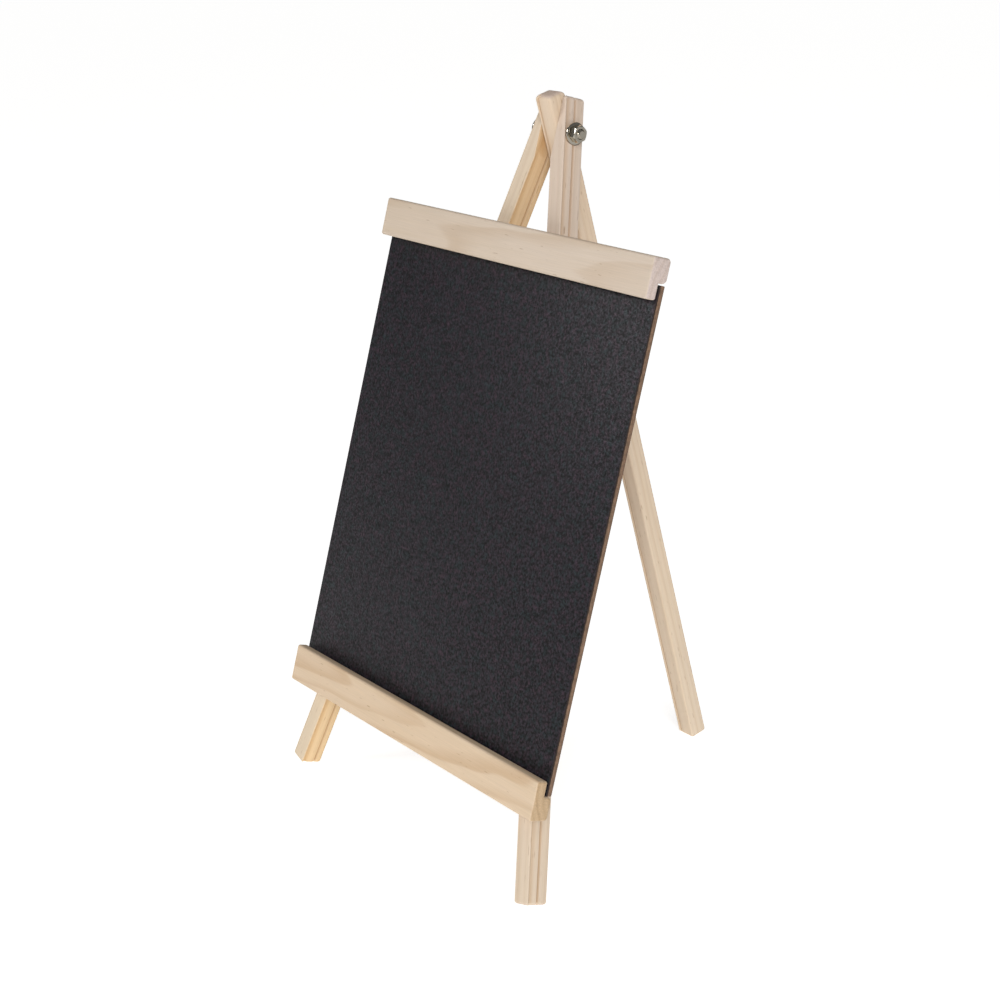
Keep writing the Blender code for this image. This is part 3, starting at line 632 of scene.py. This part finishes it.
# rails are slotted for the board: the top one from below, the ledge from above
def railCorners(slotAtTop):
    front, slot, back, high = -rail["thickness"], -rail["slotThickness"], -rail["legPlay"], rail["height"]
    corner, deep = rail["corner"], rail["slotDepth"]
    if slotAtTop:
        return [(front, 0, corner), (back, 0, rail["backCorner"]), (back, high - deep, rail["shoulder"]),
                (slot, high - deep, 0.0), (slot, high, corner), (front, high, corner)]
    return [(front, 0, corner), (slot, 0, corner), (slot, deep, 0.0), (back, deep, rail["shoulder"]),
            (back, high, rail["backCorner"]), (front, high, corner)]


def slottedRail(name, node, bottom, slotAtTop, pith, drift, depth, castAndShade, shift, ends=None):
    place = frontPlace @ Matrix.Translation((-rail["length"] / 2 * mm, 0, bottom * mm)) @ alongX
    piece = meshObject(name, easedStick(railCorners(slotAtTop), rail["length"], rail["endEase"]))
    piece.data.transform(place)
    shapeWith(piece, screwHoles((-1, 1), [ledgeScrewUp if slotAtTop else topScrewUp]))
    wood = sandedPine(name + "Pine", place, pith, drift, castAndShade, rail["length"], depth, shift, ends=ends)
    return finishPiece(piece, Matrix.Identity(4), [wood], "front_frame", [node])


slottedRail("topRail", "top_rail", rail["topBottom"], False,
            (24, 6), (0.03, 0.012), 0.5, ("EFEFF1", "F0F2F8"), 3.0)
slottedRail("bottomLedge", "bottom_ledge", rail["ledgeBottom"], True,
            (30, 20), (-0.045, 0.01), 0.6, ("FFF8EE", "FFF9F0"), 57.0, ends=("C6AE8F", "AC906D"))
print("rails made")


# board: 3 mm hardboard, painted on its face, loose by the play in its slots
board = {
    "width": 199.0, "thickness": 3.0, "edgeEase": 0.25,
    "back": 0.6,                        # its back, in front of the legs' front faces
    "playBelow": 0.3, "playAbove": 0.7,  # room left at the bottom of each slot
}


def chalkboard():
    low = rail["ledgeBottom"] + solidHeight + board["playBelow"]
    high = rail["topBottom"] + rail["slotDepth"] - board["playAbove"]
    size = Vector((board["width"], board["thickness"], high - low)) * mm
    centre = Vector((0, -(board["back"] + board["thickness"] / 2), (low + high) / 2)) * mm
    bm = bmesh.new()
    bmesh.ops.create_cube(bm, size=1.0, matrix=Matrix.Translation(centre) @ Matrix.Diagonal((*size, 1)))
    bmesh.ops.bevel(bm, geom=bm.edges[:], offset=board["edgeEase"] * mm, offset_type="OFFSET", affect="EDGES",
                    segments=3, profile=0.5, material=-1)
    piece = meshObject("chalkboardPanel", bm)
    finishPiece(piece, frontPlace, [boardCore, boardPaint], "front_frame", ["chalkboard_panel"],
                50)
    faceAxis = frontPlace.to_3x3() @ Vector((0, -1, 0))
    for face in piece.data.polygons:
        face.material_index = 1 if face.normal.dot(faceAxis) > 0.8 else 0
    return piece


chalkboard()
print("board made")


# two crossed blades, narrower at the bottom, that cut a driver's recess in a head
def crossRecess(top, span, width, depth):
    blades = []
    for turn in (0, pi / 2):
        bm = bmesh.new()
        low, high = top - 1.0, top + depth
        size = Vector((high - low, span, width)) * mm
        middle = Matrix.Translation(((low + high) / 2 * mm, 0, 0))
        bmesh.ops.create_cube(bm, size=1.0, matrix=middle @ Matrix.Diagonal((*size, 1)))
        for vert in bm.verts:
            if vert.co.x > top * mm:
                vert.co.y *= 0.5
                vert.co.z *= 0.55
        bmesh.ops.rotate(bm, verts=bm.verts, cent=(0, 0, 0), matrix=Matrix.Rotation(turn, 3, "X"))
        blades.append(bm)
    return blades


# an M4 thread as a helix: one tooth's edge is spun and moved on by the pitch each turn, then trimmed square
def threadedRod(start, end, radius, pitch, steps=32):
    core = radius - 0.6 * pitch
    turns = int((end - start) / pitch) + 3
    bm = bmesh.new()
    tooth = [(0, core), (0.12, core), (0.44, radius), (0.56, radius), (0.88, core), (1.0, core)]
    first = start - pitch
    verts = [bm.verts.new(((first + part * pitch) * mm, edgeRadius * mm, 0)) for part, edgeRadius in tooth]
    edges = [bm.edges.new(pair) for pair in zip(verts, verts[1:])]
    bmesh.ops.spin(bm, geom=verts + edges, axis=(1, 0, 0), cent=(0, 0, 0), dvec=(pitch / steps * mm, 0, 0),
                   angle=2 * pi * turns, steps=steps * turns)
    bmesh.ops.remove_doubles(bm, verts=bm.verts, dist=0.002 * mm)
    for x, side in ((start, -1), (end, 1)):
        cut = bmesh.ops.bisect_plane(bm, geom=bm.verts[:] + bm.edges[:] + bm.faces[:], dist=0.001 * mm,
                                     plane_co=(x * mm, 0, 0), plane_no=(side, 0, 0), clear_outer=True)
        rim = [item for item in cut["geom_cut"] if isinstance(item, bmesh.types.BMEdge)]
        bmesh.ops.holes_fill(bm, edges=rim, sides=0)
    return bm


def domePoints(seat):
    rise = bolt["headHeight"] - bolt["headRim"]
    sphere = (bolt["headRadius"] ** 2 + rise ** 2) / (2 * rise)
    reach = asin(bolt["headRadius"] / sphere)
    centre = -seat - bolt["headRim"] - rise + sphere
    return [(centre - sphere * cos(reach * i / 12), sphere * sin(reach * i / 12)) for i in range(13)]


def pivotBolt():
    seat = seatX + washerRing["thickness"] + bolt["gap"]
    end = seat + nut["height"] + bolt["pastNut"]
    threadStart = seat - bolt["threadBehind"]
    ease = 0.15
    points = domePoints(seat) + [(-seat - ease, bolt["headRadius"]), (-seat, bolt["headRadius"] - ease),
                                 (-seat, bolt["radius"]), (threadStart, bolt["radius"]), (threadStart, 0)]
    piece = meshObject("pivotBolt", turned(points))
    shapeWith(piece, crossRecess(-seat - bolt["headHeight"], 4.2, 0.9, 1.6))
    thread = threadedRod(threadStart - 0.2, end, bolt["radius"], bolt["pitch"])
    shapeWith(piece, [thread], "UNION")
    chamfer = turned([(-30, 0), (-30, 8), (end - 1.6, 8), (end - 1.6, 2.6), (end, 1.45), (end + 0.2, 0)])
    shapeWith(piece, [chamfer], "INTERSECT")
    return finishPiece(piece, pivotPlace, [nickelPlate], "front_frame", ["pivot_bolt"])


def washer(name, side, node):
    inner, outer = seatX, seatX + washerRing["thickness"]
    radius, bore, ease = washerRing["radius"], washerRing["bore"], washerRing["ease"]
    ringPoints = [(inner, bore), (inner, radius - 0.1), (inner + 0.1, radius), (outer - ease * 1.6, radius),
                  (outer - ease * 0.5, radius - 0.05), (outer, radius - 0.2),
                  (outer, bore + ease), (outer - ease, bore)]
    piece = meshObject(name, turned(ringPoints, 96, ring=True))
    flip = Matrix.Rotation(0 if side > 0 else pi, 4, "Z")
    return finishPiece(piece, pivotPlace @ flip, [nickelPlate], "front_frame", [node])


def pivotNut():
    seat = seatX + washerRing["thickness"] + bolt["gap"]
    half, flat = nut["height"] / 2, nut["acrossFlats"] / 2
    corner = flat / cos(pi / 6)
    bm = bmesh.new()
    turn = Matrix.Rotation(radians(nut["turn"]), 4, "X") @ Matrix.Rotation(pi / 2, 4, "Y")
    bmesh.ops.create_cone(bm, cap_ends=True, segments=6, radius1=corner * mm, radius2=corner * mm,
                          depth=nut["height"] * mm, matrix=turn)
    piece = meshObject("pivotNut", bm)
    ease = nut["chamfer"]
    barrel = turned([(-half, 0), (-half, flat * 0.97), (-half + ease, corner + 0.02), (0, corner + 0.1),
                     (half - ease, corner + 0.02), (half, flat * 0.97), (half, 0)], 96)
    shapeWith(piece, [barrel], "INTERSECT")
    # the bore opens out at both ends in a countersink
    bore = turned([(-half - 1, 0), (-half - 1, 3.0), (-half + 0.45, nut["bore"]), (half - 0.45, nut["bore"]),
                   (half + 1, 3.0), (half + 1, 0)])
    shapeWith(piece, [bore])
    place = pivotPlace @ Matrix.Translation(((seat + half) * mm, 0, 0))
    return finishPiece(piece, place, [nickelPlate], "clamp_nut", ["pivot_nut"], 25)


def woodScrew(name, side, up, node):
    piece = meshObject(name, turned(screwPoints(0.0), 40))
    shapeWith(piece, crossRecess(0.0, 3.0, 0.7, 1.4))
    return finishPiece(piece, screwPlace(side, up), [zincPlate], "front_frame", [node])


pivotBolt()
washer("leftWasher", -1, "left_washer")
washer("rightWasher", 1, "right_washer")
pivotNut()
for side, word in ((-1, "left"), (1, "right")):
    woodScrew(f"topRailScrew{word.title()}", side, topScrewUp, f"top_rail_screw_{word}")
    woodScrew(f"ledgeScrew{word.title()}", side, ledgeScrewUp, f"ledge_screw_{word}")
print("hardware made")


# a white acrylic table, lit from below, under one broad low light from the front right, with small
# lights at the left and above
studio = {
    "floorSize": 30.0, "floor": "E6E5E3", "floorGlow": 0.75, "glossGlow": 0.1,
    "floorDrop": 0.0002,  # just under the feet
    "world": 0.12,
    "sunPower": 1.62, "sunRise": 22.0, "sunSpread": 30.0,
    "sunTurn": 57.0,       # from the front towards the right
    "leftPower": 6.5, "leftFrom": (-0.6, -1.25, 0.95), "leftSize": 0.45,
    "topPower": 4.0, "topFrom": (1.1, -0.5, 1.5), "topSize": 0.5,
}


def softbox(name, power, place, size, aim):
    lamp = bpy.data.lights.new(name, "AREA")
    lamp.energy = power
    lamp.size = size
    made = bpy.data.objects.new(name, lamp)
    bpy.context.scene.collection.objects.link(made)
    made.location = place
    made.rotation_euler = (aim - Vector(place)).to_track_quat("-Z", "Y").to_euler()


def studioSet():
    bm = bmesh.new()
    bmesh.ops.create_grid(bm, x_segments=1, y_segments=1, size=studio["floorSize"] / 2)
    floor = meshObject("studioFloor", bm)
    floor.location.z = -studio["floorDrop"]
    material, tree, shader = newMaterial("glowingAcrylicTable")
    shader.inputs["Base Color"].default_value = srgb(studio["floor"])
    shader.inputs["Roughness"].default_value = 0.8
    shader.inputs["Emission Color"].default_value = (1.0, 1.0, 1.0, 1.0)
    # the table glows less in gloss than it does to the eye, so that metal and paint keep their dark parts
    path = addNode(tree, "LightPath")
    glow = addNode(tree, "MapRange", {
        0: path.outputs["Is Glossy Ray"], 3: studio["floorGlow"], 4: studio["glossGlow"]})
    tree.links.new(glow.outputs[0], shader.inputs["Emission Strength"])
    floor.data.materials.append(material)
    world = bpy.data.worlds.new("studioWorld")
    bpy.context.scene.world = world
    world.use_nodes = True
    # the room is seen as white but lights the easel as a dim one
    backdrop = world.node_tree.nodes["Background"]
    backdrop.inputs["Color"].default_value = (1.0, 1.0, 1.0, 1.0)
    path = addNode(world.node_tree, "LightPath")
    level = addNode(world.node_tree, "MapRange", {
        0: path.outputs["Is Camera Ray"], 3: studio["world"], 4: 1.0})
    world.node_tree.links.new(level.outputs[0], backdrop.inputs["Strength"])
    aim = Vector((0, 0, 0.17))
    for word in ("left", "top"):
        lamp = [studio[word + part] for part in ("Power", "From", "Size")]
        softbox(word + "Softbox", *lamp, aim)
    lamp = bpy.data.lights.new("broadSun", "SUN")
    lamp.energy = studio["sunPower"]
    lamp.angle = radians(studio["sunSpread"])
    sun = bpy.data.objects.new("broadSun", lamp)
    bpy.context.scene.collection.objects.link(sun)
    sun.rotation_euler = (radians(90 - studio["sunRise"]), 0, radians(studio["sunTurn"]))
    bpy.context.scene.view_settings.view_transform = "Standard"


camera = {  # place in metres, angles in degrees, lens in mm
    "place": (0.71789, -0.545965, 0.438077), "turn": 54.35, "drop": 17.94, "roll": -1.29, "lens": 72.07,
}


def standCamera():
    data = bpy.data.cameras.new("camera")
    data.lens = camera["lens"]
    data.sensor_width = 36.0
    made = bpy.data.objects.new("camera", data)
    bpy.context.scene.collection.objects.link(made)
    turn, drop, roll = (radians(camera[word]) for word in ("turn", "drop", "roll"))
    made.matrix_world = (Matrix.Translation(camera["place"]) @ Matrix.Rotation(turn, 4, "Z")
                         @ Matrix.Rotation(pi / 2 - drop, 4, "X") @ Matrix.Rotation(roll, 4, "Z"))
    bpy.context.scene.camera = made


studioSet()
standCamera()
print("studio set")
